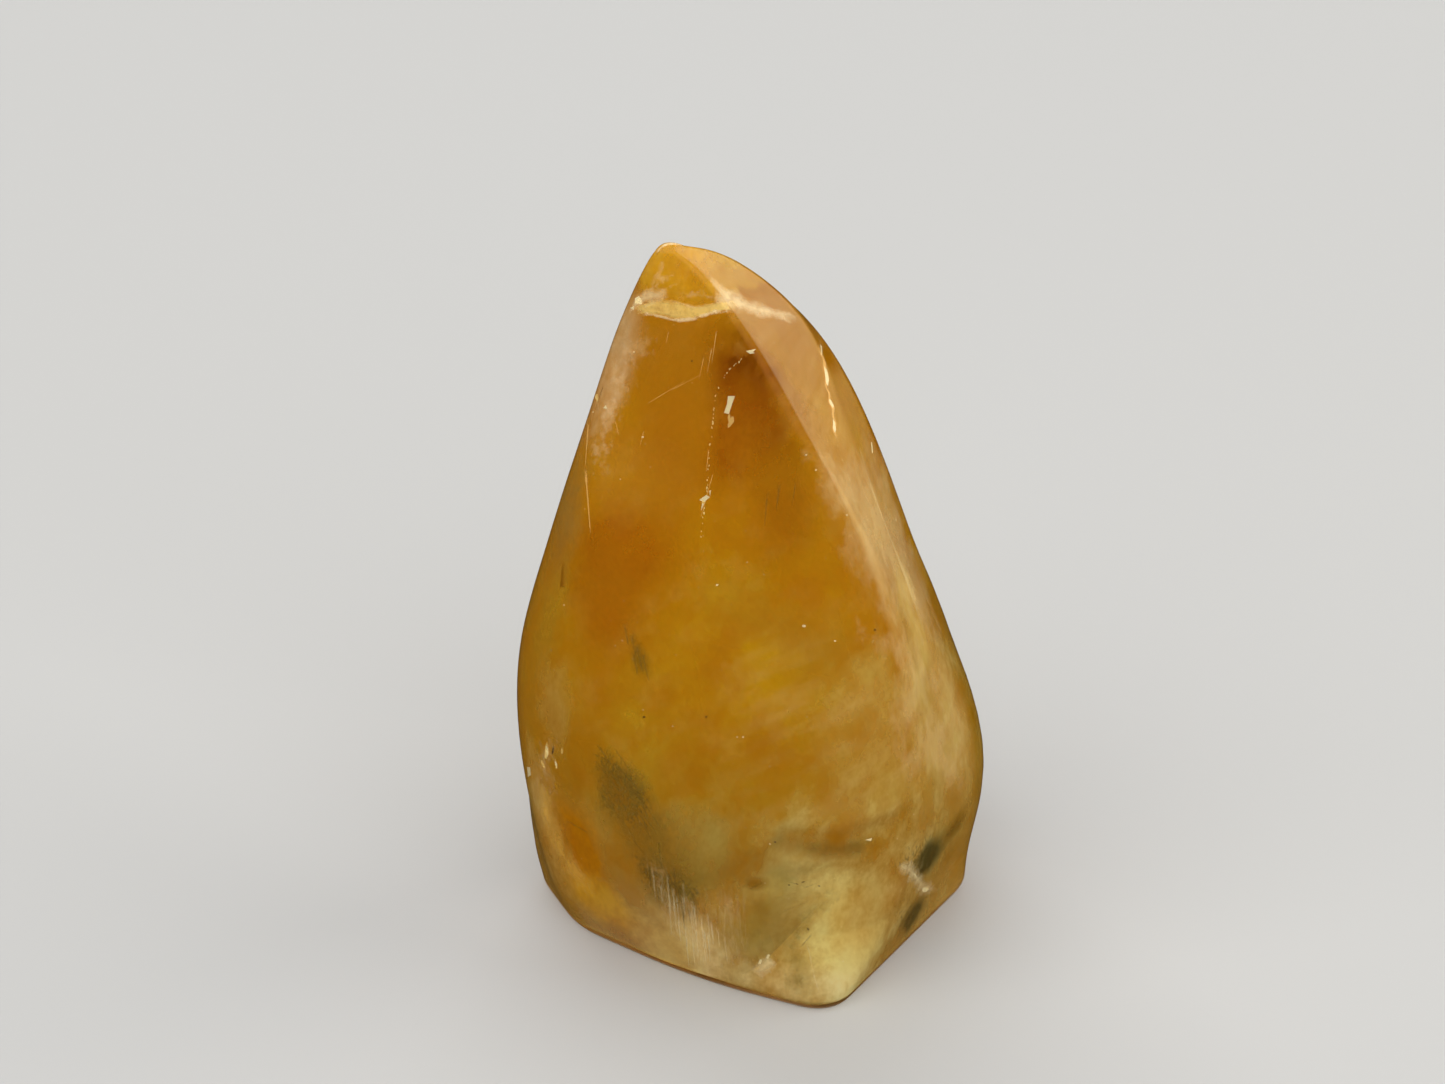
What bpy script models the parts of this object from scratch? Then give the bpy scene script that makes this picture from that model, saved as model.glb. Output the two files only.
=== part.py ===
"""Citrine crystal: one stone, ground and polished into a leaning flame that stands on a flat base.

Metres, +Z up. The front of the stone faces -Y, and the origin is the middle of its base.
Seven ridge lines run from the base to the tip. A section of the stone is the polygon through the
ridges, with each corner rounded off as far as the polishing took it.
"""

import bmesh
import bpy
import numpy as np

MM = 0.001

# Each ridge from the base to the tip, in millimetres: x, y, z, and how far to each side of the
# ridge line its rounding reaches. A short reach is a crisp ridge, and a long one a soft shoulder.
RIDGES = {
    "front": [
        (6.1, -15.0, 0.0, 2.6),
        (7.6, -14.8, 4.0, 4.5),
        (9.4, -14.3, 11.0, 7.0),
        (10.4, -13.0, 20.0, 8.0),
        (9.6, -10.6, 29.0, 5.5),
        (6.8, -8.0, 38.0, 1.6),
        (3.3, -5.6, 44.0, 0.8),
        (0.2, -3.4, 49.0, 0.6),
        (-3.2, -1.4, 53.4, 0.5),
        (-5.3, -0.6, 55.2, 0.3),
    ],
    "right": [
        (17.2, 3.6, 0.0, 3.0),
        (18.0, 4.0, 4.0, 4.5),
        (18.8, 3.0, 11.0, 6.0),
        (15.4, 0.5, 20.0, 3.5),
        (11.8, -1.6, 28.5, 1.8),
        (8.9, -2.2, 36.0, 1.0),
        (6.0, -0.2, 43.5, 0.7),
        (3.7, 2.0, 48.7, 0.6),
        (-0.8, 2.2, 53.1, 0.5),
        (-4.5, 0.5, 55.2, 0.3),
    ],
    "back_right": [
        (11.0, 12.5, 0.0, 5.0),
        (12.6, 13.8, 4.0, 6.0),
        (14.4, 14.0, 11.0, 8.0),
        (14.5, 10.4, 20.0, 5.0),
        (12.7, 5.8, 28.0, 3.0),
        (10.3, 4.4, 35.5, 2.0),
        (7.4, 4.2, 42.6, 1.4),
        (3.4, 4.6, 48.0, 1.0),
        (-1.8, 3.2, 52.6, 0.6),
        (-5.0, 0.9, 55.1, 0.3),
    ],
    "back": [
        (-1.0, 15.0, 0.0, 5.0),
        (-1.0, 16.0, 4.0, 6.0),
        (-1.0, 16.8, 11.0, 8.0),
        (-1.5, 15.4, 20.0, 6.0),
        (-2.0, 12.6, 28.0, 3.0),
        (-3.0, 10.0, 35.5, 1.6),
        (-4.0, 7.8, 42.5, 1.0),
        (-5.0, 5.6, 48.0, 0.8),
        (-5.7, 2.8, 52.9, 0.6),
        (-5.8, 0.8, 55.1, 0.3),
    ],
    "back_left": [
        (-16.7, 5.0, 0.0, 4.0),
        (-17.2, 6.0, 4.0, 5.0),
        (-17.0, 8.0, 11.0, 7.0),
        (-15.8, 8.6, 20.0, 6.0),
        (-13.6, 7.4, 28.0, 4.0),
        (-11.8, 5.8, 35.5, 2.5),
        (-10.0, 4.4, 42.5, 1.6),
        (-8.8, 3.0, 48.0, 1.0),
        (-7.4, 1.4, 52.9, 0.6),
        (-6.5, 0.5, 55.1, 0.3),
    ],
    "left": [
        (-12.9, -3.5, 0.0, 2.0),
        (-14.6, -3.6, 4.0, 2.0),
        (-16.5, -2.8, 11.0, 2.5),
        (-17.7, -1.6, 20.0, 5.0),
        (-16.1, -1.2, 28.5, 4.0),
        (-13.7, -0.9, 36.0, 2.5),
        (-11.3, -0.6, 43.5, 1.4),
        (-9.5, -0.5, 49.0, 0.9),
        (-7.7, -0.3, 53.4, 0.5),
        (-6.7, -0.1, 55.2, 0.3),
    ],
    "left_front": [
        (-3.6, -10.7, 0.0, 6.0),
        (-5.6, -11.4, 4.0, 7.0),
        (-8.2, -12.6, 11.0, 8.0),
        (-10.6, -11.6, 20.0, 8.0),
        (-11.8, -8.6, 29.0, 5.0),
        (-11.9, -5.2, 37.0, 1.6),
        (-10.6, -2.2, 43.8, 0.8),
        (-9.0, -1.4, 49.2, 0.6),
        (-7.2, -0.9, 53.4, 0.5),
        (-6.3, -0.6, 55.2, 0.3),
    ],
}

# Points along the side that follows each ridge, and along each rounded corner.
SIDE_STEPS = {
    "front": 6,
    "right": 6,
    "back_right": 6,
    "back": 6,
    "back_left": 6,
    "left": 4,
    "left_front": 9,
}
CORNER_STEPS = 3
RINGS_PER_STATION = 6

BASE_ROUNDING = 0.7
BASE_RINGS = 3
TIP_ROUNDING = 0.45
TIP_RINGS = 3


def through_stations(stations, steps):
    """The smooth curve through the rows of stations, with this many points from each row to the next."""
    rows = np.array(stations, float)
    last = len(rows) - 1
    system = np.diag([2.0] + [4.0] * (last - 1) + [2.0]) + np.diag([1.0] * last, 1) + np.diag([1.0] * last, -1)
    before = rows[np.maximum(np.arange(last + 1) - 1, 0)]
    after = rows[np.minimum(np.arange(last + 1) + 1, last)]
    slopes = np.linalg.solve(system, 3 * (after - before))
    t = np.linspace(0, last, last * steps + 1)
    at = np.minimum(t.astype(int), last - 1)
    u = (t - at)[:, None]
    return (
        rows[at] * (1 + 2 * u) * (1 - u) ** 2
        + rows[at + 1] * u**2 * (3 - 2 * u)
        + slopes[at] * u * (1 - u) ** 2
        - slopes[at + 1] * u**2 * (1 - u)
    )


def outline(corners):
    """One section of the stone: the points of the polygon through corners, with its corners rounded."""
    points, reach = corners[:, :3], corners[:, 3]
    ahead = np.roll(points, -1, 0) - points
    length = np.linalg.norm(ahead, axis=1)
    found = []
    for i, steps in enumerate(SIDE_STEPS.values()):
        n = (i + 1) % len(points)
        start = points[i] + ahead[i] * min(reach[i] / length[i], 0.5)
        end = points[n] - ahead[i] * min(reach[n] / length[i], 0.5)
        for u in np.arange(steps) / steps:
            found.append(start + (end - start) * u)
        onward = points[n] + ahead[n] * min(reach[n] / length[n], 0.5)
        for u in np.arange(CORNER_STEPS) / CORNER_STEPS:
            found.append(end * (1 - u) ** 2 + points[n] * 2 * u * (1 - u) + onward * u**2)
    return np.array(found)


def drawn_in(section, by):
    """The section moved towards its own middle by this many millimetres."""
    spokes = section - section.mean(0)
    return section - spokes * (by / np.linalg.norm(spokes, axis=1).mean())


def sections():
    """Every section of the stone from the rounded edge of its base to its worn tip."""
    ridges = np.array([through_stations(ridge, RINGS_PER_STATION) for ridge in RIDGES.values()])
    walls = [outline(ridges[:, i]) for i in range(ridges.shape[1])]
    found = []
    for turn in np.linspace(0, np.pi / 2, BASE_RINGS, endpoint=False):
        ring = drawn_in(walls[0], BASE_ROUNDING * (1 - np.sin(turn)))
        ring[:, 2] = BASE_ROUNDING * (1 - np.cos(turn))
        found.append(ring)
    rise = np.array([0, 0, BASE_ROUNDING])
    share = np.linspace(1, 0, len(walls))[:, None, None]
    found += list(np.array(walls) + rise * share)
    axis = np.array([-0.25, 0, 1])
    for turn in np.linspace(0, np.pi / 2, TIP_RINGS + 1, endpoint=False)[1:]:
        ring = walls[-1].mean(0) + (walls[-1] - walls[-1].mean(0)) * np.cos(turn)
        found.append(ring + axis * TIP_ROUNDING * np.sin(turn))
    return np.array(found)


def loop_of(bm, points):
    """A closed loop of edges through the points."""
    verts = [bm.verts.new(point) for point in points]
    return [bm.edges.new((a, b)) for a, b in zip(verts, verts[1:] + verts[:1])]


def stone_mesh():
    """The whole stone as one closed mesh, its sections bridged one to the next."""
    rings = sections()
    low, high = rings.reshape(-1, 3).min(0), rings.reshape(-1, 3).max(0)
    rings = (rings - [(low[0] + high[0]) / 2, (low[1] + high[1]) / 2, low[2]]) * MM
    bm = bmesh.new()
    loops = [loop_of(bm, ring) for ring in rings]
    for below, above in zip(loops, loops[1:]):
        bmesh.ops.bridge_loops(bm, edges=below + above)
    bmesh.ops.contextual_create(bm, geom=loops[0])
    top = bmesh.ops.contextual_create(bm, geom=loops[-1])["faces"]
    bmesh.ops.poke(bm, faces=top)
    bmesh.ops.recalc_face_normals(bm, faces=bm.faces)
    mesh = bpy.data.meshes.new("citrine_crystal")
    bm.to_mesh(mesh)
    bm.free()
    return mesh


def citrine():
    """The stone's own colour and polish."""
    material = bpy.data.materials.new("citrine")
    material.use_nodes = True
    shader = material.node_tree.nodes["Principled BSDF"]
    shader.inputs["Base Color"].default_value = (0.45, 0.19, 0.02, 1)
    shader.inputs["Roughness"].default_value = 0.05
    shader.inputs["Metallic"].default_value = 0
    shader.inputs["IOR"].default_value = 1.544
    shader.inputs["Transmission Weight"].default_value = 0.8
    return material


def main():
    for obj in list(bpy.data.objects):
        bpy.data.objects.remove(obj)
    mesh = stone_mesh()
    mesh.shade_smooth()
    mesh.set_sharp_from_angle(angle=np.radians(40))
    mesh.materials.append(citrine())
    stone = bpy.data.objects.new("citrine_crystal", mesh)
    bpy.context.scene.collection.objects.link(stone)


main()
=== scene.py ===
"""A citrine crystal, ground and polished into a leaning flame that stands on its flat base."""

import random
from math import cos, pi, radians, sin, sqrt

import bmesh
import bpy
import numpy as np
from mathutils import Matrix, Quaternion, Vector, noise
from mathutils.bvhtree import BVHTree

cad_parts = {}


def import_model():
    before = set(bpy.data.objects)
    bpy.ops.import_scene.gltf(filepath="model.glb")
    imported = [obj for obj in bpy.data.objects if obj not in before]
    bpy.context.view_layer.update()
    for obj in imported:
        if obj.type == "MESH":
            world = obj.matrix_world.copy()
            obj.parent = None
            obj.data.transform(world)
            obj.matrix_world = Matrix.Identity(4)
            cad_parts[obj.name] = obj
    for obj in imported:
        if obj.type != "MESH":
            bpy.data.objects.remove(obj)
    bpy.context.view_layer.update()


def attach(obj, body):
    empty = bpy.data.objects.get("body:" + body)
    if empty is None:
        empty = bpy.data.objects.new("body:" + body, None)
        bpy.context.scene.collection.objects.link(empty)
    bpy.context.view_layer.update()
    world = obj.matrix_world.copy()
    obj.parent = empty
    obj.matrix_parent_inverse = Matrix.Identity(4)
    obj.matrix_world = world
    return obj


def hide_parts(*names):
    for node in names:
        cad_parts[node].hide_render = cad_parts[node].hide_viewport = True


MM = 0.001

# The stone's form

# Each ridge from the base to the tip, in millimetres: x, y, z, and how far to each side of the
# ridge line its rounding reaches. A short reach is a crisp ridge, and a long one a soft shoulder.
RIDGES = {
    "front": [
        (6.1, -15, 0, 2.6), (7.6, -14.8, 4, 4.5), (9.4, -14.3, 11, 7), (10.4, -13, 20, 8),
        (9.6, -10.6, 29, 5.5), (6.8, -8, 38, 1.6), (3.3, -5.6, 44, 0.8), (0.2, -3.4, 49, 0.6),
        (-3.2, -1.4, 53.4, 0.5), (-5.3, -0.6, 55.2, 0.3),
    ],
    "right": [
        (17.2, 3.6, 0, 3), (18, 4, 4, 4.5), (18.8, 3, 11, 6), (15.4, 0.5, 20, 3.5), (11.8, -1.6, 28.5, 1.8),
        (8.9, -2.2, 36, 1), (6, -0.2, 43.5, 0.7), (3.7, 2, 48.7, 0.6), (-0.8, 2.2, 53.1, 0.5),
        (-4.5, 0.5, 55.2, 0.3),
    ],
    "back_right": [
        (11, 12.5, 0, 5), (12.6, 13.8, 4, 6), (14.4, 14, 11, 8), (14.5, 10.4, 20, 5), (12.7, 5.8, 28, 3),
        (10.3, 4.4, 35.5, 2), (7.4, 4.2, 42.6, 1.4), (3.4, 4.6, 48, 1), (-1.8, 3.2, 52.6, 0.6),
        (-5, 0.9, 55.1, 0.3),
    ],
    "back": [
        (-1, 15, 0, 5), (-1, 16, 4, 6), (-1, 16.8, 11, 8), (-1.5, 15.4, 20, 6), (-2, 12.6, 28, 3),
        (-3, 10, 35.5, 1.6), (-4, 7.8, 42.5, 1), (-5, 5.6, 48, 0.8), (-5.7, 2.8, 52.9, 0.6),
        (-5.8, 0.8, 55.1, 0.3),
    ],
    "back_left": [
        (-16.7, 5, 0, 4), (-17.2, 6, 4, 5), (-17, 8, 11, 7), (-15.8, 8.6, 20, 6), (-13.6, 7.4, 28, 4),
        (-11.8, 5.8, 35.5, 2.5), (-10, 4.4, 42.5, 1.6), (-8.8, 3, 48, 1), (-7.4, 1.4, 52.9, 0.6),
        (-6.5, 0.5, 55.1, 0.3),
    ],
    "left": [
        (-12.9, -3.5, 0, 2), (-14.6, -3.6, 4, 2), (-16.5, -2.8, 11, 2.5), (-17.7, -1.6, 20, 5),
        (-16.1, -1.2, 28.5, 4), (-13.7, -0.9, 36, 2.5), (-11.3, -0.6, 43.5, 1.4), (-9.5, -0.5, 49, 0.9),
        (-7.7, -0.3, 53.4, 0.5), (-6.7, -0.1, 55.2, 0.3),
    ],
    "left_front": [
        (-3.6, -10.7, 0, 6), (-5.6, -11.4, 4, 7), (-8.2, -12.6, 11, 8), (-10.6, -11.6, 20, 8),
        (-11.8, -8.6, 29, 5), (-11.9, -5.2, 37, 1.6), (-10.6, -2.2, 43.8, 0.8), (-9, -1.4, 49.2, 0.6),
        (-7.2, -0.9, 53.4, 0.5), (-6.3, -0.6, 55.2, 0.3),
    ],
}
SIDE_STEPS = 24
CORNER_STEPS = 10
RINGS_PER_STATION = 22
BASE_ROUNDING = 0.7
BASE_RINGS = 8
TIP_ROUNDING = 0.45
TIP_RINGS = 8
STONE_HEIGHT = 55.6

# How far the worn tip leans over as it rises, as a share of its rise.
TIP_LEAN = -0.25

# How far hand polishing left the facets from true, in millimetres, how wide its waves are, and how
# far above the base they have their full size.
POLISH_WAVE = 0.05
POLISH_WAVE_WIDTH = 9
POLISH_FADE = 3

# Quartz bends light this much.
QUARTZ_IOR = 1.55

# The photograph's frame and camera
PHOTO_WIDTH = 1445
PHOTO_HEIGHT = 1084
CAMERA_AIM = Vector((-2.2, -0.7, 31.4)) * MM
CAMERA_DISTANCE = 0.4
CAMERA_ELEVATION = radians(30)
CAMERA_LENS = 137.5
CAMERA_SENSOR = 36

# A place inside the stone lies at most this share of the way to its far side.
GREATEST_SHARE = 0.8

# The width of one pixel of the photograph at the stone, in millimetres.
PIXEL = CAMERA_DISTANCE / MM * CAMERA_SENSOR / CAMERA_LENS / PHOTO_WIDTH

# What lies inside the stone. Each place is a pixel of the photograph, x and y, and a depth in
# millimetres under the polished face seen there. A place with a fourth number is on a side that the
# photograph doesn't show: its pixel is that of the same camera swung round by so many degrees.


def row(depth, *pixels):
    """A row of places at one depth. A pixel that brings its own depth keeps it."""
    return [(*pixel, depth)[:3] for pixel in pixels]


def swung(around, traces):
    """The rows of places seen with the camera swung round the stone by this many degrees."""
    return [[(*place, around) for place in trace] for trace in traces]


# Colour zones: the middle's pixel and depth, half sizes in millimetres across, inwards and up, the
# lean to the right in degrees, the colour that the stone passes there, and how thick its cloud is.
TONES = {
    "brown_under_tip": ((749, 402, 0.5), (3, 2.6, 8), -36, (0.24, 0.06, 0.001), 0.95),
    "brown_beside_it": ((735, 436, 0.5), (3.2, 3.4, 5.4), 6, (0.32, 0.1, 0.001), 0.75),
    "rust_left": ((622, 556, 1), (4.4, 5, 5), 25, (0.37, 0.125, 0.001), 0.6),
    "rust_left_low": ((608, 612, 1), (2.6, 4, 4.4), 5, (0.4, 0.15, 0.002), 0.5),
    "rust_middle": ((782, 508, 1), (2.8, 5, 4.4), 4, (0.36, 0.15, 0.002), 0.55),
    "olive_middle": ((800, 640, 1), (7, 5, 3), 20, (0.46, 0.3, 0.02), 0.4),
    "orange_corner": ((580, 846, 1), (2.8, 4, 5.2), -12, (0.64, 0.28, 0.002), 0.75),
    "orange_foot": ((606, 908, 1), (6, 4, 2.8), 22, (0.78, 0.46, 0.04), 0.8),
    # Paler at the right edge: partly milky haze, partly a painted highlight.
    "right_haze_and_highlight": ((950, 720, 1), (2.4, 6, 8), -10, (0.6, 0.46, 0.15), 0.6),
    "pale_low_right": ((880, 780, 1), (6, 5, 5.6), 30, (0.56, 0.41, 0.09), 0.55),
    "clear_corner": ((836, 918, 1), (8, 6, 6.6), 50, (0.84, 0.76, 0.31), 0.75),
    # Paler where light glows through the clear corner: painted light.
    "clear_glow": ((850, 925, 1), (4, 4, 3.6), 50, (0.94, 0.88, 0.38), 0.9),
    "clear_foot": ((784, 983, 1), (6.8, 4, 1.8), 0, (0.84, 0.74, 0.38), 0.95),
    "olive_foot": ((705, 850, 1), (5.4, 4, 4.4), 0, (0.44, 0.36, 0.08), 0.55),
    "milky_halo": ((692, 938, 0.8), (4.4, 3, 4.6), 0, (0.72, 0.55, 0.18), 0.7),
    "milky_base": ((704, 950, 0.8), (1.9, 3, 4.2), -2, (0.98, 0.84, 0.44), 0.85),
    "brown_wedge": ((748, 920, 1), (2.2, 3, 3.6), 38, (0.54, 0.39, 0.08), 0.75),
    # Paler along the right ridge: a painted highlight.
    "ridge_highlight_zone": ((874, 570, 0.6), (1.8, 3, 8), -22, (0.58, 0.36, 0.06), 0.4),
    "pale_middle_right": ((884, 690, 0.8), (3.6, 4, 5), -15, (0.58, 0.43, 0.09), 0.5),
    # Paler down the right ridge: partly milky haze, partly a painted highlight.
    "ridge_low_haze_and_highlight": ((925, 690, 0.8), (2.2, 4, 6.5), -15, (0.52, 0.38, 0.08), 0.6),
    "clear_right": ((905, 948, 0.8), (3, 4, 3.6), 20, (0.7, 0.58, 0.22), 0.75),
    "pale_foot_right": ((896, 890, 0.8), (4.4, 5, 6.4), 25, (0.68, 0.56, 0.21), 0.8),
    "pale_upper_left": ((606, 375, 0.5), (1.5, 3, 6), 18, (0.68, 0.48, 0.24), 0.7),
    "smoky_left_edge": ((564, 530, 0.5), (1, 3, 6.4), 15, (0.34, 0.23, 0.05), 0.5),
    "pale_left_edge": ((542, 650, 0.5), (1.2, 4, 8), 10, (0.46, 0.3, 0.02), 0.5),
    # Paler at the left edge: a painted highlight.
    "left_low_highlight_zone": ((552, 710, 0.5), (1.8, 4, 4), 0, (0.56, 0.39, 0.08), 0.6),
    "pale_left_foot": ((544, 822, 0.5), (1.5, 3, 8), -10, (0.72, 0.54, 0.18), 0.7),
    "smoky_left": ((622, 790, 0.8), (2, 3, 4), -40, (0.19, 0.13, 0.016), 0.7),
    "smoky_sweep": ((648, 842, 1), (3, 3, 6.6), -30, (0.26, 0.19, 0.03), 0.6),
    "smoky_base": ((662, 884, 0.8), (1.9, 3, 3), -40, (0.25, 0.205, 0.045), 0.6),
    "smoky_smudge": ((755, 886, 0.5), (0.9, 2, 0.6), 0, (0.28, 0.2, 0.03), 0.5),
    "smoky_smudge_left": ((639, 656, 0.5), (0.8, 2, 1.7), -18, (0.2, 0.135, 0.008), 0.55),
    "smoky_right": ((927, 860, 0.5), (3.3, 2.8, 1.8), 32, (0.07, 0.06, 0.015), 0.9),
    "pale_bruise": ((902, 890, 0.5), (2, 2.6, 2), 30, (0.78, 0.66, 0.3), 0.8),
    "smoky_right_low": ((912, 916, 0.5), (1.5, 2.6, 1.9), 35, (0.1, 0.08, 0.025), 0.85),
    "brown_right_edge": ((956, 824, 0.5), (1.3, 2.4, 1.6), 40, (0.24, 0.15, 0.02), 0.7),
    "green_streak": ((843, 851, 0.8), (4.6, 3, 1), 10, (0.27, 0.23, 0.06), 0.6),
    # The tip above the fracture, painted paler with the light that the fracture reflects.
    "tip_painted_reflection": ((684, 276, 0.5), (2.6, 3, 2.8), -20, (0.84, 0.5, 0.02), 0.6),
    "rust_upper": ((674, 420, 0.8), (3, 5, 9), 0, (0.42, 0.17, 0.002), 0.4),
    "pale_foot_left": ((664, 950, 0.8), (3, 3, 3.2), 0, (0.9, 0.7, 0.22), 0.7),
    # Paler along the lower right ridge: a painted highlight.
    "ridge_foot_highlight_zone": ((910, 606, 0.5), (2.2, 4, 4.4), -22, (0.72, 0.54, 0.14), 0.5),
    "yellow_middle": ((726, 676, 1), (5, 5, 4.6), 0, (0.6, 0.385, 0.004), 0.35),
    "pale_back_foot": ((640, 900, 1, 180), (7, 5, 5), 20, (0.66, 0.54, 0.18), 0.7),
    "rust_back": ((700, 560, 1, 180), (5, 5, 8), -15, (0.4, 0.15, 0.002), 0.6),
}
COMMON_CLOUD = 0.45

# The milky inside of the stone, in millimetres: how far under the polish it starts, how lumpy its
# face is, how wide its large and its small lumps are, and how far below the tip it draws near the
# polish, to this share of its depth at least.
MILK_DEPTH = 0.42
MILK_LUMPS = 0.12
MILK_LUMP_WIDTHS = (6, 2.5)
MILK_TAPER = 4
MILK_LEAST_SHARE = 0.2

# The clear window in the corner of the foot, in millimetres: its width, how far in it reaches, how
# wide the lumps of its ragged edge are, and over what height it opens above the base.
CLEAR_CORNER_WIDTH = 17
CLEAR_CORNER_DEPTH = 1.6
CLEAR_CORNER_RAGS = 3
CLEAR_CORNER_FOOT = 4

# The pale face over the base, painted in place of the bright inside that the base mirrors, in
# millimetres: how far it reaches past the lowest section of the stone, and how high it lies.
REFLECTION_FACE_MARGIN = 0.25
REFLECTION_FACE_HEIGHT = 0.1

# A sheet is given by its traces: rows of places that it runs through, from one long edge to the
# other. Its ripples are this wide in millimetres.
RIPPLE_WIDTH = 2.5

# The fracture across the tip, from its line on the front to its far rim, painted bright golden with
# the light that it reflects.
TIP_FRACTURE = [
    row(0.1, (628, 317), (648, 316), (666, 320), (684, 322), (702, 318), (720, 312), (744, 311)),
    row(0.1, (629, 313), (648, 308), (666, 309), (684, 312), (702, 311), (720, 307), (744, 305)),
    row(0.1, (630, 309), (648, 300), (666, 297), (684, 299), (702, 302), (720, 300), (744, 298)),
]
# Where the same fracture comes out: its line across the front, a bruise at the left end, and the
# bright smear that it leaves on the pale facet.
FRACTURE_LINE = [
    row(0.05, (638, 316), (652, 317), (667, 321), (682, 323), (697, 321), (714, 316), (744, 312)),
    row(0.05, (638, 312), (652, 312), (667, 316), (682, 317), (697, 314), (714, 309), (744, 302)),
]
FRACTURE_TOP = [
    row(0.05, (630, 315), (645, 309), (660, 304), (674, 304), (688, 308), (701, 311), (716, 311)),
    row(0.05, (630, 311), (644, 304), (660, 299), (674, 299), (688, 303), (701, 306), (716, 307)),
]
FRACTURE_BRUISE = [
    row(0.05, (626, 318), (636, 311), (648, 306), (676, 301)),
    row(0.05, (630, 306), (638, 301), (650, 297), (678, 291)),
    row(0.05, (635, 296), (641, 291), (654, 285), (682, 279)),
]
FACET_SMEAR = [
    row(0.1, (700, 262), (716, 276), (732, 286), (748, 294), (764, 300), (784, 308), (806, 320, 0.08)),
    row(0.1, (706, 282), (720, 293), (735, 301), (750, 307), (766, 311), (784, 316), (805, 324, 0.08)),
    row(0.1, (702, 310), (718, 316), (734, 319), (750, 321), (766, 322), (783, 324), (803, 328, 0.08)),
]
# The painted highlight along the right ridge. Its last trace is its crisp edge, on the ridge line.
RIDGE_HIGHLIGHT = [
    row(0.1, (784, 436), (800, 480), (822, 530), (852, 586), (886, 640)),
    row(0.1, (826, 440), (841, 482), (860, 528), (886, 582), (912, 634)),
    row(0.1, (856, 444), (871, 484), (887, 528), (909, 580), (934, 632)),
]
# The painted highlight as a paler strip on the other side of the same ridge, with its crisp edge on the
# ridge line too.
SLIVER_HIGHLIGHT = [
    row(0.1, (876, 420), (894, 470), (912, 520), (928, 570), (944, 622), (956, 664)),
    row(0.1, (866, 424), (882, 472), (899, 522), (916, 571), (933, 624), (946, 666)),
    row(0.1, (853, 427), (867, 475), (885, 525), (903, 573), (921, 625), (935, 669)),
]
# Lighter swirls in the tip above the fracture.
TIP_SWIRLS = [
    [
        row(0.1, (634, 302), (643, 284), (652, 268), (660, 256)),
        row(0.1, (650, 306), (659, 290), (668, 275), (676, 260)),
    ],
    [
        row(0.2, (640, 292), (656, 276), (674, 266), (694, 262)),
        row(0.2, (646, 304), (664, 288), (684, 278), (704, 276)),
    ],
    [
        row(0.2, (676, 292), (692, 288), (708, 290), (722, 298)),
        row(0.2, (680, 306), (696, 302), (712, 304), (728, 308)),
    ],
]
# The broken seam down the ridge at the right, with how wide it is in pixels.
RIDGE_SEAM = [
    (817, 332, 1.5), (820, 342, 4), (821, 352, 5), (824, 360, 4), (825, 368, 5.5), (827, 377, 5.5),
    (826, 386, 4), (829, 393, 3), (830, 401, 5), (833, 408, 5.5), (833, 415, 3), (835, 423, 5.5),
    (834, 431, 4), (838, 440, 2.5), (840, 452, 1.5),
]

# What lies in the back and the left side, which the photograph doesn't show.
BACK_VEILS = [
    swung(180, [
        row(0.2, (560, 640), (610, 600, 0.3), (660, 540, 0.3), (700, 470)),
        row(0.3, (580, 690), (635, 650, 0.4), (690, 590, 0.4), (730, 510)),
        row(0.2, (610, 740), (665, 700, 0.3), (720, 640, 0.3), (755, 560)),
    ]),
    swung(180, [
        row(0.2, (700, 880), (760, 860, 0.3), (820, 820, 0.3), (870, 770)),
        row(0.2, (710, 930), (775, 910, 0.3), (840, 870, 0.3), (890, 820)),
    ]),
    swung(270, [
        row(0.2, (640, 500), (655, 580, 0.3), (660, 660, 0.3), (655, 740)),
        row(0.2, (700, 500), (715, 580, 0.3), (720, 660, 0.3), (715, 740)),
    ]),
]
BACK_FRACTURE = swung(180, [
    row(0.05, (640, 770), (690, 755), (740, 760), (790, 740)),
    row(0.05, (642, 782), (692, 766), (742, 774), (792, 750)),
])
BACK_FRACTURE_PLANE = swung(180, [
    row(0.1, (644, 776), (692, 760), (742, 767), (790, 745)),
    row(0.2, (645, 780), (694, 788), (744, 790), (790, 750)),
])
BACK_SHADES = [
    swung(180, [
        row(0.15, (600, 820), (630, 830), (660, 850)),
        row(0.15, (590, 850), (622, 862), (655, 882)),
    ]),
    swung(180, [
        row(0.15, (745, 420), (760, 470), (772, 520)),
        row(0.15, (770, 410), (788, 462), (800, 516)),
    ]),
]
BACK_LACE = swung(180, [
    row(0.1, (560, 700), (575, 720), (590, 745), (600, 770)),
    row(0.1, (580, 690), (598, 712), (612, 738), (622, 764)),
])

# Pale cottony veils.
VEILS = {
    "upper_left": [
        row(0.2, (622, 322), (610, 352), (600, 385), (594, 420)),
        row(0.3, (640, 326), (628, 358), (616, 392), (606, 430)),
        row(0.5, (660, 334), (648, 368), (634, 402), (620, 440)),
    ],
    "right_edge": [
        row(0.3, (836, 600), (850, 660), (862, 710), (872, 760), (882, 810)),
        row(0.2, (896, 606), (910, 660), (922, 708), (932, 756), (938, 804)),
        row(0.15, (936, 614), (950, 660), (962, 706), (972, 752), (974, 800)),
    ],
    "across_the_middle": [
        row(1, (690, 640), (740, 650, 1.4), (800, 670, 1.6), (860, 680, 1.4), (920, 680)),
        row(1.5, (700, 690), (750, 705, 2.2), (810, 715, 2.6), (870, 718, 2.2), (930, 715)),
        row(2, (700, 740), (750, 760, 3), (810, 770, 3.6), (870, 768, 3), (935, 760)),
    ],
    "low_right": [
        row(0.6, (800, 800), (840, 790, 0.8), (880, 775, 0.8), (930, 745)),
        row(1, (810, 830), (850, 818, 1.4), (890, 802, 1.4), (940, 780)),
        row(1.6, (830, 868), (865, 850, 2.2), (900, 836, 2), (942, 815, 1.2)),
    ],
}

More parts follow.
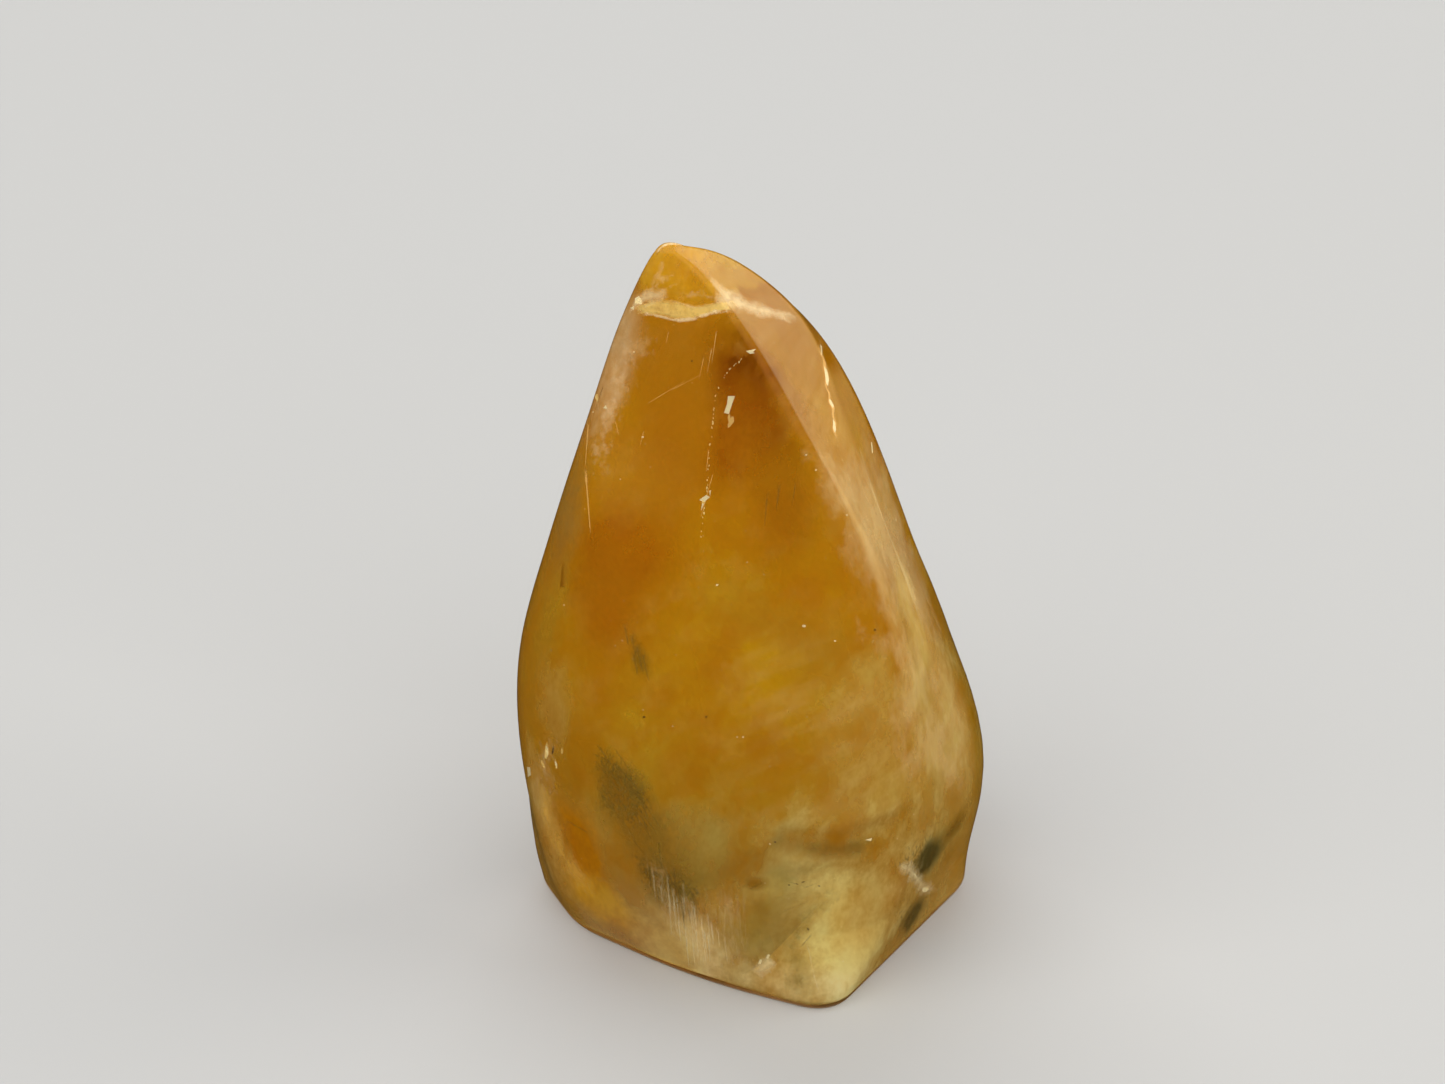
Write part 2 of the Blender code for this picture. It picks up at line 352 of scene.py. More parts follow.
# Veils with a fine bright grain: at the upper left, and about the chips at the left.
SPARKLING_VEILS = [
    [
        row(0.1, (624, 318), (609, 356), (597, 394), (588, 430), (583, 484)),
        row(0.15, (644, 322), (627, 362), (614, 400), (602, 438), (598, 490)),
        row(0.2, (668, 330), (650, 370), (632, 408), (618, 446), (612, 496)),
    ],
    [
        row(0.1, (532, 736), (530, 756), (530, 780), (532, 800)),
        row(0.1, (548, 734), (546, 756), (546, 780), (548, 800)),
        row(0.1, (566, 736), (564, 756), (562, 780), (562, 798)),
    ],
]

# Veils of fine upright threads over the foot.
THREADED_VEILS = {
    "foot_middle": [
        row(0.3, (664, 884), (668, 915), (676, 945), (688, 966)),
        row(0.4, (684, 880), (690, 915), (697, 945), (706, 970, 0.3)),
        row(0.5, (714, 886), (716, 915), (718, 945, 0.4), (722, 974, 0.3)),
    ],
    "foot_right": [
        row(0.3, (694, 884), (700, 912), (706, 945), (714, 972)),
        row(0.4, (722, 880), (728, 912), (734, 945), (738, 976, 0.3)),
        row(0.5, (752, 886), (758, 915), (762, 945, 0.4), (764, 980, 0.3)),
    ],
    "foot_left": [
        row(0.3, (636, 856), (644, 885), (652, 915), (662, 945)),
        row(0.4, (656, 852), (664, 885), (674, 918), (684, 950, 0.3)),
        row(0.5, (680, 856), (688, 888), (696, 920, 0.4), (704, 952, 0.3)),
    ],
}

# Flaws that show dark, like lace.
LACE = {
    "lower_left_arc": [
        row(0.1, (578, 740), (604, 745), (626, 758), (643, 775), (655, 796), (661, 820)),
        row(0.1, (582, 756), (603, 761), (619, 772), (632, 788), (643, 804), (649, 824)),
        row(0.1, (586, 772), (600, 778), (611, 787), (622, 800), (631, 813), (636, 828)),
    ],
    "lower_left": [
        row(0.15, (592, 764), (612, 770), (632, 784), (650, 806)),
        row(0.15, (590, 790), (608, 800), (628, 812), (648, 828)),
        row(0.15, (596, 816), (612, 828), (632, 840), (654, 852)),
    ],
    "foot_left": [
        row(0.1, (622, 838), (642, 846), (664, 854), (690, 868), (716, 880)),
        row(0.1, (630, 862), (646, 872), (664, 882), (688, 894), (716, 902)),
        row(0.1, (640, 890), (654, 900), (670, 910), (690, 920), (716, 924)),
    ],
    "right_window": [
        row(0.1, (874, 868), (890, 846), (910, 828), (934, 816)),
        row(0.1, (897, 880), (912, 864), (929, 849), (950, 836)),
        row(0.1, (914, 897), (932, 884), (948, 869), (965, 852)),
    ],
    "right_window_low": [
        row(0.1, (886, 932), (890, 914), (900, 898), (916, 888)),
        row(0.1, (900, 936), (907, 920), (916, 908), (928, 898)),
        row(0.1, (912, 940), (920, 928), (930, 916), (940, 906)),
    ],
}

# The brown wedge in the foot. Its last trace is its crisp edge.
WEDGE = [
    row(0.1, (700, 958), (716, 928), (742, 898), (775, 870), (812, 850)),
    row(0.1, (722, 966), (740, 944), (764, 919), (792, 894), (824, 868)),
    row(0.1, (740, 976), (757, 967), (775, 951), (799, 926), (836, 887)),
]

# The thin line inside the clear corner.
CORNER_LINE = [
    row(0.1, (799, 924), (805, 942), (809, 958), (813, 978), (823, 1004)),
    row(0.1, (801, 923), (807, 941), (812, 957), (816, 977), (826, 1004)),
]
# Soft brown shades inside the clear corner: beside its line, and along its upper left edge.
CORNER_SHADES = [
    [
        row(0.15, (770, 934), (776, 955), (782, 980), (788, 1000)),
        row(0.15, (786, 930), (793, 952), (799, 977), (808, 1001)),
        row(0.15, (801, 924), (811, 950), (816, 975), (826, 1001)),
    ],
    [
        row(0.12, (782, 966), (794, 966), (806, 968)),
        row(0.12, (782, 980), (794, 982), (806, 982)),
        row(0.12, (784, 992), (796, 994), (808, 994)),
    ],
    [
        row(0.15, (776, 938), (792, 916), (810, 896), (830, 880)),
        row(0.15, (788, 942), (803, 924), (820, 906), (840, 890)),
        row(0.15, (798, 952), (814, 932), (830, 914), (850, 898)),
    ],
]
# The bright bruise at the right, between the two dark windows.
RIGHT_BRUISE = [
    row(0.05, (892, 862), (900, 876), (909, 889), (918, 902)),
    row(0.05, (902, 860), (912, 873), (922, 885), (932, 896)),
    row(0.05, (910, 856), (922, 869), (933, 880), (944, 889)),
]
# The bruise at the tip of the brown wedge.
CORNER_BRUISE = [
    row(0.05, (746, 968), (755, 959), (764, 950)),
    row(0.05, (754, 976), (764, 967), (774, 958)),
    row(0.05, (764, 984), (775, 975), (786, 966)),
]
# The painted amber highlight along the ridge at the lower left of the outline.
AMBER_RIDGE_HIGHLIGHT = [
    row(0.1, (530, 780), (536, 815), (546, 848), (564, 878), (592, 902)),
    row(0.1, (538, 778), (546, 812), (558, 844), (576, 872), (604, 894)),
    row(0.1, (546, 776), (556, 808), (570, 839), (589, 864), (616, 884)),
]

# Painted glints: each is the outline of a tiny plane, some on real chips, whose pale colour stands in
# for a glint of light, in pixels, and all lie at one depth in millimetres.
GLINT_DEPTH = 0.08
GLINTS = [
    ((728, 396), (735, 396), (732, 404), (729, 414), (724, 413), (727, 404)),
    ((746, 351), (750, 350), (753, 352), (756, 349), (755, 353), (750, 354)),
    ((824, 366), (827, 370), (829, 379), (828, 386), (826, 383), (825, 374)),
    ((829, 399), (831, 400), (834, 406), (833, 408), (830, 404)),
    ((833, 419), (835, 422), (836, 430), (835, 433), (833, 428)),
    ((820, 344), (822, 347), (822, 356), (821, 354)),
    ((699, 500), (706, 495), (710, 497), (704, 502)),
    ((702, 503), (704, 504), (701, 511)),
    ((709, 491), (711, 490), (710, 496)),
    ((546, 745), (548, 748), (548, 756), (546, 752)),
    ((555, 761), (557, 763), (557, 768), (555, 765)),
    ((527, 767), (530, 767), (531, 775), (528, 777)),
    ((913, 872), (916, 875), (918, 879), (915, 877)),
    ((922, 889), (925, 887), (929, 889), (926, 892), (923, 892)),
    ((758, 964), (760, 959), (762, 960), (761, 964)),
    ((766, 958), (768, 954), (770, 955), (768, 959)),
    ((865, 840), (872, 838), (871, 841)),
    ((871, 442), (872, 442), (873, 453), (872, 453)),
    ((635, 298), (639, 296), (642, 301), (638, 304), (635, 303)),
    ((630, 308), (634, 306), (634, 310)),
    ((603, 408), (606, 405), (607, 409)),
]

# Strokes and flakes lie this deep in millimetres, unless their row says otherwise. The end of a stroke
# has these shares of its width and depth. A flake's corners lie at these shares of its size, and it
# leans away from the camera by up to this slope.
NEAR_POLISH = 0.1
STROKE_END_WIDTH = 0.3
STROKE_END_DEPTH = 1.3
FLAKE_CORNERS = (0.7, 1.15)
FLAKE_SLOPE = 0.3

# Bright flakes, painted pale as small glints: pixel, width and height in pixels, turn in degrees, and depth.
GLINT_FLAKES = [
    (804, 626, 4, 2.5, 0, 0.15), (835, 641, 2.5, 2, 0, 0.15), (564, 605, 2, 2),
    (717, 585, 3.5, 1.6, 20, 0.15), (737, 737, 1.4, 1.4), (743, 737, 2, 2), (847, 515, 2.5, 1.6),
    (896, 520, 2, 4, -12), (640, 303, 5, 3), (593, 412, 3, 2), (634, 352, 2, 2), (643, 437, 2.5, 2),
    (770, 844, 2, 1.5), (806, 455, 3, 1.6, 20), (816, 470, 2.5, 1.4, 30),
]

# Faint echoes of the glints, deeper in: gold flakes painted as fainter glints.
ECHOES = [
    (731, 422, 5, 15, -12, 0.2), (729, 418, 3, 8, 10, 0.2), (547, 749, 5, 20, -6),
    (556, 764, 3.5, 11, 8), (543, 764, 4, 9, 30), (562, 751, 3, 10, -10), (597, 398, 5, 10, 15),
    (704, 500, 5, 10, -30),
]

# Dark specks, as the bright flakes.
SPECKS = [
    (775, 842, 3, 2), (803, 882, 5, 1.5, 20), (797, 884, 3, 1.2, -30), (789, 885, 3, 1.5),
    (819, 886, 3, 1.2, -20), (553, 750, 2.5, 11, -5), (706, 717, 3, 2), (644, 717, 3, 2),
    (875, 630, 3, 2), (808, 929, 2, 5, 40), (692, 361, 2, 2),
]

# Soft brown smudges: first pixel, last pixel, width in pixels, and depth.
SMUDGES = [
    ((624, 622), (629, 648), 8), ((631, 632), (637, 660), 9), ((636, 641), (643, 674), 11),
    ((642, 652), (649, 682), 8), ((633, 650), (638, 676), 8), ((566, 820), (590, 834), 8),
    ((590, 752), (620, 766), 5), ((614, 762), (640, 792), 8), ((634, 784), (650, 822), 8),
    ((640, 812), (652, 842), 6), ((612, 784), (632, 800), 5), ((604, 800), (626, 822), 5),
    ((786, 881), (806, 887), 6), ((804, 888), (820, 882), 4), ((774, 898), (800, 892), 4),
    ((782, 912), (812, 900), 4), ((800, 948), (812, 934), 6), ((748, 890), (764, 882), 8),
    ((945, 838), (962, 820), 7), ((768, 490), (764, 530), 5, 0.15), ((780, 482), (776, 512), 5, 0.15),
    ((796, 480), (792, 506), 4, 0.15),
]

# Healed cracks that show as a row of dots: their lines, how many places for a dot there are from one
# pixel to the next, the share of them that has one, how far in pixels it strays, how wide it is in
# pixels, how many times as long, and its greatest turn in degrees.
DOTTED_LINES = [
    row(0.2, (750, 356, 0.15), (738, 362), (727, 372), (719, 385), (715, 402), (713, 420)),
    row(0.2, (713, 420), (711, 440), (709, 460), (708, 480), (705, 500)),
    row(0.2, (705, 500), (704, 512), (702, 524), (701, 540, 0.25)),
    row(0.1, (838, 446), (846, 470), (852, 492), (862, 520), (880, 560)),
]
DOT_PLACES = 9
DOT_SHARE = 0.45
DOT_STRAY = 0.5
DOT_WIDTHS = (0.8, 1.8)
DOT_LENGTHS = (1, 2.2)
DOT_TURN = 30

# Fine straight needles, as the smudges.
NEEDLES = [
    ((717, 328), (711, 368), 1.6), ((712, 347), (707, 374), 1.6), ((704, 356), (699, 380), 1.2),
    ((645, 405), (690, 378), 1.6), ((668, 392), (706, 372), 1.4), ((669, 330), (666, 344), 1.6),
    ((589, 416), (585, 470), 3, 0.05), ((585, 462), (591, 540), 3.6, 0.05),
    ((709, 448), (706, 474), 1.8), ((615, 420), (619, 436), 1.6), ((644, 430), (640, 446), 1.4),
    ((714, 470), (700, 520), 1.2),
]

# The rim of the tip, painted pale as a highlight: its pixels, how far below them each trace runs, and its
# depth.
TIP_RIM_HIGHLIGHT = [(654, 254), (660, 247), (667, 243), (677, 242), (687, 243), (699, 248)]
TIP_HIGHLIGHT_DROPS = (-1, 1.5, 4)
TIP_HIGHLIGHT_DEPTH = 0.02

# Scattered threads: seed, how many, the first and last pixel of the line that they lie about, their
# length in pixels, and how far they lean for each pixel down. Then how far they stray, half their
# length as a share of it, and their width, in pixels.
DARK_STRANDS = [
    (5, 18, (652, 868), (690, 914), 30, 0.1),
    (7, 30, (606, 762), (668, 880), 28, 0.7),
]
PALE_THREADS = [(6, 34, (664, 892), (720, 956), 40, 0.1)]
THREAD_SCATTER = 9
THREAD_HALF_LENGTHS = (0.25, 0.5)
THREAD_WIDTHS = (3, 5)

# Dust all round the stone: how many specks, and in millimetres how deep they lie, how wide they are,
# and how near the polish a random place has to be to get one.
DUST_SPECKS = 420
DUST_DEPTHS = (0.1, 1.5)
DUST_WIDTHS = (0.04, 0.1)
DUST_REACH = 3

# The looks of the sheets: colour, most alpha, how frayed they are, the size of their pattern in
# millimetres and where it starts, how far in their rim fades, and whether their last trace is crisp.
SHEET_LOOKS = {
    # Cream cracks, and the painted highlight along the rim of the tip.
    "cream_crack_and_tip_highlight": ((1, 0.84, 0.52), 0.8, 0.9, (0.6, 0.6, 0.6), 0),
    # A real fracture, painted bright with the light that it reflects.
    "golden_fracture_and_reflection": ((1, 0.79, 0.27), 0.7, 0.6, (1, 1, 1), 20, 0.3),
    "cottony_veil": ((1, 0.80, 0.42), 0.2, 1, (2, 2, 2.8), 40),
    "threaded_veil": ((1, 0.84, 0.48), 0.26, 0.7, (0.16, 0.16, 3.6), 60, 0.6),
    "fine_cotton": ((1, 0.84, 0.54), 0.25, 0.8, (0.6, 0.6, 0.9), 45, 0.6),
    "lace": ((0.15, 0.105, 0.015), 0.6, 1.1, (0.24, 0.24, 0.36), 80, 0.5),
    "brown_wedge": ((0.27, 0.18, 0.03), 0.5, 0.3, (1.2, 1.2, 1.2), 88, 0.8, True),
    # Pale sheets painted as the highlight along the right ridge.
    "painted_ridge_highlight": ((1, 0.85, 0.46), 0.36, 0.4, (1.6, 1.6, 2.4), 92, 0.8, True),
    "pale_thread": ((1, 0.88, 0.56), 0.5, 0.3, (0.4, 0.4, 0.6), 94, 0.8),
    "brown_streak": ((0.15, 0.10, 0.015), 0.5, 0.4, (0.4, 0.4, 0.6), 86, 0.6),
    "brown_shade": ((0.32, 0.22, 0.04), 0.5, 0.6, (1.2, 1.2, 1.2), 85, 0.5),
    "amber_thread": ((1, 0.62, 0.20), 0.75, 0.5, (0.4, 0.4, 0.8), 90),
    # Painted as the amber highlight along the lower left ridge.
    "painted_amber_highlight": ((1, 0.64, 0.12), 0.5, 0.6, (1.2, 1.2, 2), 95, 0.5),
    "cream_smear": ((1, 0.86, 0.52), 0.7, 0.45, (1.2, 1.2, 1.2), 100, 0.6),
}
# The looks of the flakes: colour, least roughness and alpha.
FLAKE_LOOKS = {
    # Pale flecks of dust, and flakes painted pale as glints of light.
    "pale_fleck_and_painted_glint": ((1, 0.90, 0.56), 0.15, 1),
    # Gold flakes painted as the fainter glints deeper in.
    "gold_painted_glint": ((1, 0.78, 0.28), 0.3, 0.4),
    "gold_dot": ((1, 0.80, 0.34), 0.3, 0.75),
    "dark_speck": ((0.06, 0.035, 0.01), 0.5, 1),
}

# How the stone passes light: pale at the base, orange above and deep under the tip.
AMBER_BY_HEIGHT = [
    (0, (0.61, 0.48, 0.15)),
    (0.16, (0.54, 0.43, 0.10)),
    (0.30, (0.51, 0.36, 0.025)),
    (0.40, (0.51, 0.32, 0.010)),
    (0.55, (0.51, 0.285, 0.003)),
    (0.74, (0.50, 0.26, 0.002)),
    (0.86, (0.46, 0.215, 0.002)),
    (0.925, (0.45, 0.20, 0.002)),
    # Paler again in the tip above its fracture: painted light that the fracture reflects.
    (0.945, (0.76, 0.49, 0.03)),
    (1, (0.80, 0.53, 0.05)),
]

# The studio

# The soft lights: where each stands from the stone, its width and height in metres, its power and
# its colour. All are equally far off, and face the same place.
SOFT_LIGHTS = {
    "right_panel": ((0.85, 0.1, 0.5), (0.8, 0.6), 4.15, (1, 0.97, 0.92)),
    "top_left": ((-0.55, -0.45, 0.9), (0.8, 0.8), 4.7, (1, 0.98, 0.95)),
    "back_light": ((-0.2, 0.9, 0.7), (0.9, 0.6), 4.7, (1, 1, 1)),
    "front_fill": ((0.3, -0.85, 0.75), (0.8, 0.6), 3.65, (1, 1, 1)),
}
LIGHT_DISTANCE = 0.9
LIGHT_AIM = Vector((0, 0, 0.03))

# The room round the stone, from straight below to straight above.
WORLD_BY_HEIGHT = [
    (0, (0.40, 0.34, 0.24)),
    (0.07, (0.30, 0.25, 0.16)),
    (0.11, (0.10, 0.06, 0.015)),
    (0.30, (0.05, 0.03, 0.01)),
    (0.50, (0.02, 0.02, 0.02)),
    (0.62, (0.02, 0.02, 0.02)),
    (0.80, (0.25, 0.25, 0.26)),
    (1, (0.5, 0.5, 0.52)),
]

# The floor: half its width in metres, and how far under the stone it lies in millimetres.
FLOOR_HALF_WIDTH = 3
FLOOR_GAP = 0.03

# The pale card at the right, in metres: half its width and height, half those of its glow, how far
# off and how high its middle is, and how far behind the stone's right side it stands.
CARD_HALF_SIZE = (0.15, 0.3)
GLOW_HALF_SIZE = (0.1, 0.3)
CARD_DISTANCE = 0.25
CARD_HEIGHT = 0.12
CARD_SIDE = radians(30)


def through_stations(stations, steps):
    """The smooth curve through the rows of stations, with this many points from each row to the next."""
    rows = np.array(stations, float)
    last = len(rows) - 1
    system = np.diag([2.0] + [4.0] * (last - 1) + [2.0])
    system += np.diag([1.0] * last, 1) + np.diag([1.0] * last, -1)
    before = rows[np.maximum(np.arange(last + 1) - 1, 0)]
    after = rows[np.minimum(np.arange(last + 1) + 1, last)]
    slopes = np.linalg.solve(system, 3 * (after - before))
    t = np.linspace(0, last, last * steps + 1)
    at = np.minimum(t.astype(int), last - 1)
    u = (t - at)[:, None]
    return (
        rows[at] * (1 + 2 * u) * (1 - u) ** 2
        + rows[at + 1] * u**2 * (3 - 2 * u)
        + slopes[at] * u * (1 - u) ** 2
        - slopes[at + 1] * u**2 * (1 - u)
    )


def section(corners):
    """One section of the stone: the points of the polygon through corners, with its corners rounded."""
    points = corners[:, :3]
    reach = corners[:, 3]
    ahead = np.roll(points, -1, 0) - points
    length = np.linalg.norm(ahead, axis=1)
    found = []
    for i in range(len(points)):
        n = (i + 1) % len(points)
        start = points[i] + ahead[i] * min(reach[i] / length[i], 0.5)
        end = points[n] - ahead[i] * min(reach[n] / length[i], 0.5)
        for u in np.arange(SIDE_STEPS) / SIDE_STEPS:
            found.append(start + (end - start) * u)
        onward = points[n] + ahead[n] * min(reach[n] / length[n], 0.5)
        for u in np.arange(CORNER_STEPS) / CORNER_STEPS:
            found.append(end * (1 - u) ** 2 + points[n] * 2 * u * (1 - u) + onward * u**2)
    return np.array(found)


def drawn_in(ring, by):
    """The ring moved towards its own middle by this many millimetres."""
    spokes = ring - ring.mean(0)
    return ring - spokes * (by / np.linalg.norm(spokes, axis=1).mean())


def stone_sections():
    """Every section of the stone, from the rounded edge of its base to its worn tip, in metres."""
    ridges = np.array([through_stations(ridge, RINGS_PER_STATION) for ridge in RIDGES.values()])
    walls = np.array([section(ridges[:, i]) for i in range(ridges.shape[1])])
    found = []
    for turn in np.linspace(0, pi / 2, BASE_RINGS, endpoint=False):
        ring = drawn_in(walls[0], BASE_ROUNDING * (1 - sin(turn)))
        ring[:, 2] = BASE_ROUNDING * (1 - cos(turn))
        found.append(ring)
    rise = np.array([0, 0, BASE_ROUNDING])
    found += list(walls + rise * np.linspace(1, 0, len(walls))[:, None, None])
    axis = np.array([TIP_LEAN, 0, 1])
    for share in np.linspace(1, 0, TIP_RINGS + 1, endpoint=False)[1:]:
        ring = walls[-1].mean(0) + (walls[-1] - walls[-1].mean(0)) * share
        found.append(ring + axis * TIP_ROUNDING * (1 - share**2))
    rings = np.array(found)
    low, high = rings.reshape(-1, 3).min(0), rings.reshape(-1, 3).max(0)
    return (rings - [(low[0] + high[0]) / 2, (low[1] + high[1]) / 2, low[2]]) * MM


def polished_form():
    """The stone as a bmesh: a grid wrapped round its sections, closed at the base and the tip."""
    rings = stone_sections()
    rows, columns = rings.shape[:2]
    bm = bmesh.new()
    bmesh.ops.create_grid(bm, x_segments=columns, y_segments=rows - 1, size=1)
    for i, vert in enumerate(bm.verts):
        ring, column = divmod(i, columns + 1)
        vert.co = rings[ring][column % columns]
    bmesh.ops.remove_doubles(bm, verts=bm.verts, dist=1e-7)
    rims = [edge for edge in bm.edges if edge.is_boundary]
    half_way = STONE_HEIGHT / 2 * MM
    base_rim = [edge for edge in rims if edge.verts[0].co.z < half_way]
    tip_rim = [edge for edge in rims if edge.verts[0].co.z > half_way]
    bmesh.ops.contextual_create(bm, geom=base_rim)
    tip = bmesh.ops.contextual_create(bm, geom=tip_rim)["faces"]
    bmesh.ops.poke(bm, faces=tip)
    bmesh.ops.recalc_face_normals(bm, faces=bm.faces)
    return bm


def lumps(place, width):
    """Smooth noise of about -1 to 1 at a place, with lumps of this width in millimetres."""
    return noise.noise(place / (width * MM))


def held(value, low, high):
    """The value, kept from low to high."""
    return min(max(value, low), high)


def hand_polish(bm):
    """Leaves the facets a little uneven, as polishing by hand does. The base stays flat."""
    bm.normal_update()
    for vert in bm.verts:
        height = vert.co.z / MM
        if height > BASE_ROUNDING:
            fade = min((height - BASE_ROUNDING) / POLISH_FADE, 1)
            vert.co += vert.normal * (lumps(vert.co, POLISH_WAVE_WIDTH) * POLISH_WAVE * MM * fade)


# Places inside the stone


def photo_ray(x, y, around=0):
    """Where the photograph was taken from, and the direction in which the pixel looks. Around swings
    the camera this many degrees about the stone, for the sides that the photograph doesn't show."""
    ahead = Vector((0, cos(CAMERA_ELEVATION), -sin(CAMERA_ELEVATION)))
    up = Vector((0, sin(CAMERA_ELEVATION), cos(CAMERA_ELEVATION)))
    right = Vector((1, 0, 0))
    reach = PHOTO_WIDTH * CAMERA_LENS / CAMERA_SENSOR
    ray = ahead * reach + right * (x - PHOTO_WIDTH / 2) - up * (y - PHOTO_HEIGHT / 2)
    swing = Matrix.Rotation(radians(around), 3, "Z")
    return swing @ (CAMERA_AIM - ahead * CAMERA_DISTANCE), swing @ ray.normalized()


def inside(surface, x, y, depth, around=0):
    """The place that shows at a pixel, this many millimetres in along the bent line of sight.
    It stays short of the far side of the stone. The line of sight comes with it. A pixel just
    beside the stone gives the nearest place on its rim."""
    start, ray = photo_ray(x, y, around)
    on_face, normal = surface.ray_cast(start, ray)[:2]
    if on_face is None:
        return surface.find_nearest(start + ray * CAMERA_DISTANCE)[0], ray
    cosine = -ray.dot(normal)
    bent = ray / QUARTZ_IOR
    bent += normal * (cosine / QUARTZ_IOR - sqrt(1 - (1 - cosine**2) / QUARTZ_IOR**2))
    just_inside = on_face + bent * MM * 0.01
    room = surface.ray_cast(just_inside, bent)[3]
    return on_face + bent * min(depth * MM, room * GREATEST_SHARE), bent


def sheet(bm, surface, traces, along=8, across=6, ripple=0.0):
    """A thin curved sheet through traces, each a row of places from one end of the sheet to the other."""
    rows = np.array([through_stations(trace, along) for trace in traces])
    spots = np.array([through_stations(column, across) for column in rows.transpose(1, 0, 2)])
    columns, lines = spots.shape[:2]
    made = bmesh.ops.create_grid(
        bm, x_segments=columns - 1, y_segments=lines - 1, size=1, calc_uvs=True
    )
    for i, vert in enumerate(made["verts"]):
        line, column = divmod(i, columns)
        place, sight = inside(surface, *spots[column][line])
        vert.co = place + sight * (lumps(place, RIPPLE_WIDTH) * ripple * MM)


def stroke(bm, surface, first, last, width, depth=NEAR_POLISH):
    """A fine straight stroke from the first pixel to the last, where it is narrower and deeper."""
    sides = []
    for beside in (-width / 2, width / 2):
        start = (first[0] + beside, first[1], depth)
        end = (last[0] + beside * STROKE_END_WIDTH, last[1], depth * STROKE_END_DEPTH)
        sides.append([start, end])
    sheet(bm, surface, sides, along=6, across=1)


def flake(bm, surface, chance, sides, x, y, width, height, turn=0, depth=NEAR_POLISH):
    """One flat flake with a broken outline, turned roughly towards the camera."""
    place, sight = inside(surface, x, y, depth)
    made = bmesh.ops.create_circle(bm, cap_ends=True, segments=sides, radius=0.5)["verts"]
    for vert in made:
        vert.co *= chance.uniform(*FLAKE_CORNERS)
    lean = Vector([chance.uniform(-FLAKE_SLOPE, FLAKE_SLOPE) for _ in range(3)])
    facing = (lean - sight).to_track_quat("Z", "Y") @ Quaternion((0, 0, 1), radians(turn))
    size = Vector((width, height, 1)) * PIXEL * MM
    bmesh.ops.transform(bm, matrix=Matrix.LocRotScale(place, facing, size), verts=made)


# Pieces


def clouds_inside(corner):
    """The milky inside of the stone: its form drawn in a little, and a lot behind the clear corner."""
    bm = polished_form()
    hand_polish(bm)
    bm.normal_update()
    large, small = MILK_LUMP_WIDTHS
    for vert in bm.verts:
        wave = lumps(vert.co, large) + 0.5 * lumps(vert.co, small)
        share = held((STONE_HEIGHT - vert.co.z / MM) / MILK_TAPER, MILK_LEAST_SHARE, 1)
        vert.co -= vert.normal * ((MILK_DEPTH + MILK_LUMPS * wave) * share * MM)
        away = (vert.co - corner).length / (CLEAR_CORNER_WIDTH / 2 * MM)
        ragged = 0.25 * lumps(vert.co, CLEAR_CORNER_RAGS)
        opened = held(vert.co.z / MM / CLEAR_CORNER_FOOT - 0.3, 0, 1)
        clear = held((1 - away + ragged) * 1.6, 0, 1) * opened
        middle = Vector((0, 0, vert.co.z + CLEAR_CORNER_FOOT * MM))
        vert.co += (middle - vert.co).normalized() * (clear * CLEAR_CORNER_DEPTH * MM)
    return bm


def base_reflection_face():
    """A pale face over the base, seen through the clear corner: a painted reflection of the bright inside.
    """
    bm = bmesh.new()
    for x, y, _ in drawn_in(stone_sections()[0] / MM, -REFLECTION_FACE_MARGIN) * MM:
        bm.verts.new((x, y, REFLECTION_FACE_HEIGHT * MM))
    bmesh.ops.contextual_create(bm, geom=bm.verts)
    return bm


def sheets(surface, groups, ripple):
    """All the sheets of one kind, from the traces of each."""
    bm = bmesh.new()
    bm.loops.layers.uv.new("sheet")
    for traces in groups:
        sheet(bm, surface, traces, ripple=ripple)
    return bm


def ridge_seam():
    """The traces of the crooked crack that comes out along the right ridge."""
    near = [(x - wide / 2, y, 0.1) for x, y, wide in RIDGE_SEAM]
    far = [(x + wide / 2, y, 0.2) for x, y, wide in RIDGE_SEAM]
    return [near, far]


def tip_rim_highlight():
    """The traces of the painted highlight along the rim of the tip."""
    return [[(x, y + drop, TIP_HIGHLIGHT_DEPTH) for x, y in TIP_RIM_HIGHLIGHT] for drop in TIP_HIGHLIGHT_DROPS]


def glints(surface):
    """Tiny planes just under the polish, painted pale as glints of light."""
    bm = bmesh.new()
    for outline in GLINTS:
        verts = [bm.verts.new(inside(surface, x, y, GLINT_DEPTH)[0]) for x, y in outline]
        bmesh.ops.contextual_create(bm, geom=verts)
    return bm


def flakes(surface, rows, sides, seed):
    """All the flakes of one kind."""
    chance = random.Random(seed)
    bm = bmesh.new()
    for values in rows:
        flake(bm, surface, chance, sides, *values)
    return bm


def dotted_lines(surface):
    """Rows of dots so fine that they read as broken lines."""
    chance = random.Random(11)
    bm = bmesh.new()
    for line in DOTTED_LINES:
        for x, y, depth in through_stations(line, DOT_PLACES):
            if chance.random() < DOT_SHARE:
                width = chance.uniform(*DOT_WIDTHS)
                x += chance.gauss(0, DOT_STRAY)
                y += chance.gauss(0, DOT_STRAY)
                height = width * chance.uniform(*DOT_LENGTHS)
                turn = chance.uniform(-DOT_TURN, DOT_TURN)
                flake(bm, surface, chance, 5, x, y, width, height, turn, depth)
    return bm


def scattered(seed, count, first, last, length, lean):
    """Thin strokes scattered about the line from the first pixel to the last."""
    chance = random.Random(seed)
    found = []
    for _ in range(count):
        along = chance.random()
        x = first[0] + (last[0] - first[0]) * along + chance.gauss(0, THREAD_SCATTER)
        y = first[1] + (last[1] - first[1]) * along + chance.gauss(0, THREAD_SCATTER)
        down = chance.uniform(*THREAD_HALF_LENGTHS) * length
        over = down * lean
        found.append(((x - over, y - down), (x + over, y + down), chance.uniform(*THREAD_WIDTHS)))
    return found


